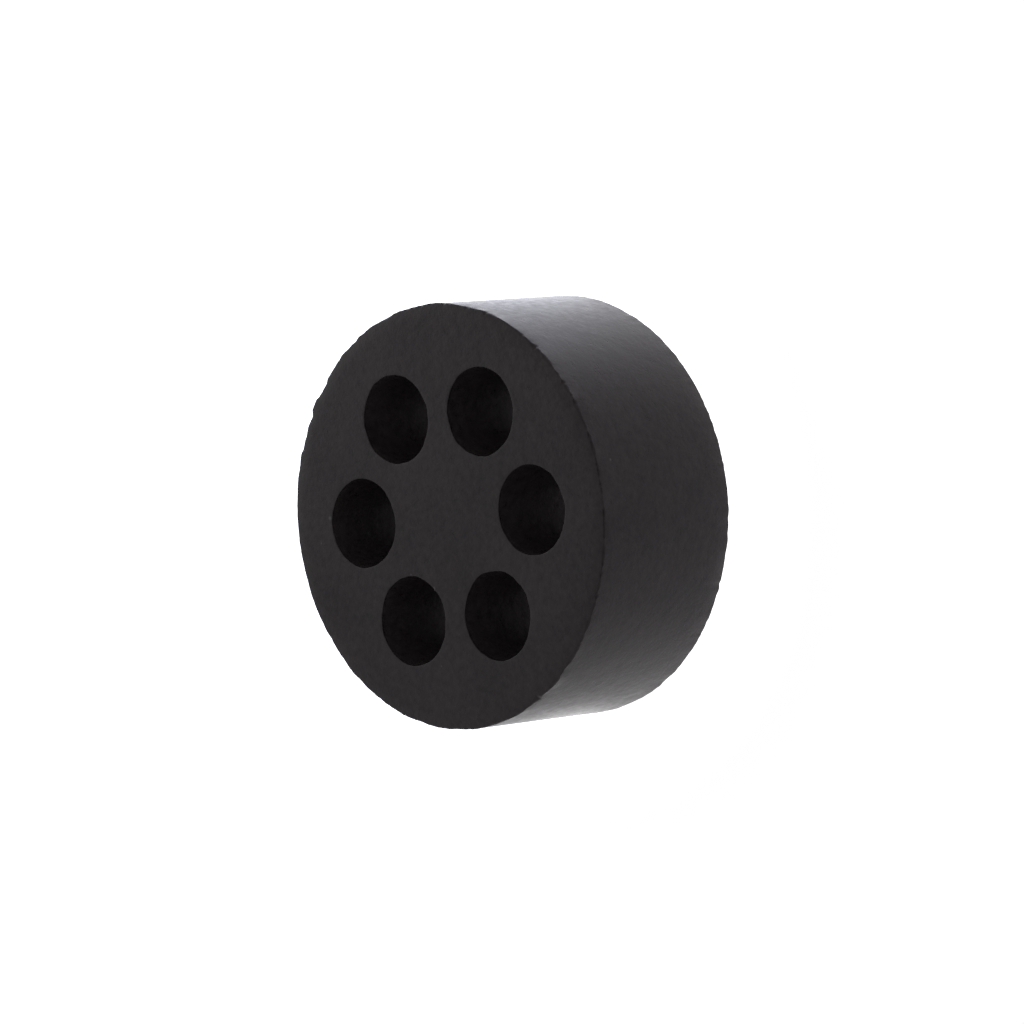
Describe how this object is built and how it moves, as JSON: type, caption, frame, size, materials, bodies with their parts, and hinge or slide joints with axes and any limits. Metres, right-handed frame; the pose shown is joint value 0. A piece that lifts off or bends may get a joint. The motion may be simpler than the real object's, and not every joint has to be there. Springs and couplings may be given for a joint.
{
  "type": "cable gland insert",
  "caption": "Short round black rubber sealing plug with a ring of equal through bores round a solid core, one bore for each cable, straight outside wall.",
  "frame": {"origin": "centre of the lower end face, on the plug's axis", "axes": "+Z along the plug's axis to the upper end face, +X through the axis of the first bore"},
  "size_m": [0.02, 0.02, 0.0086],
  "materials": {
    "rubber": "moulded black sealing rubber, smooth and satin, with a very fine mottle"
  },
  "bodies": {
    "root": {"gland_insert": "rubber"}
  },
  "joints": []
}
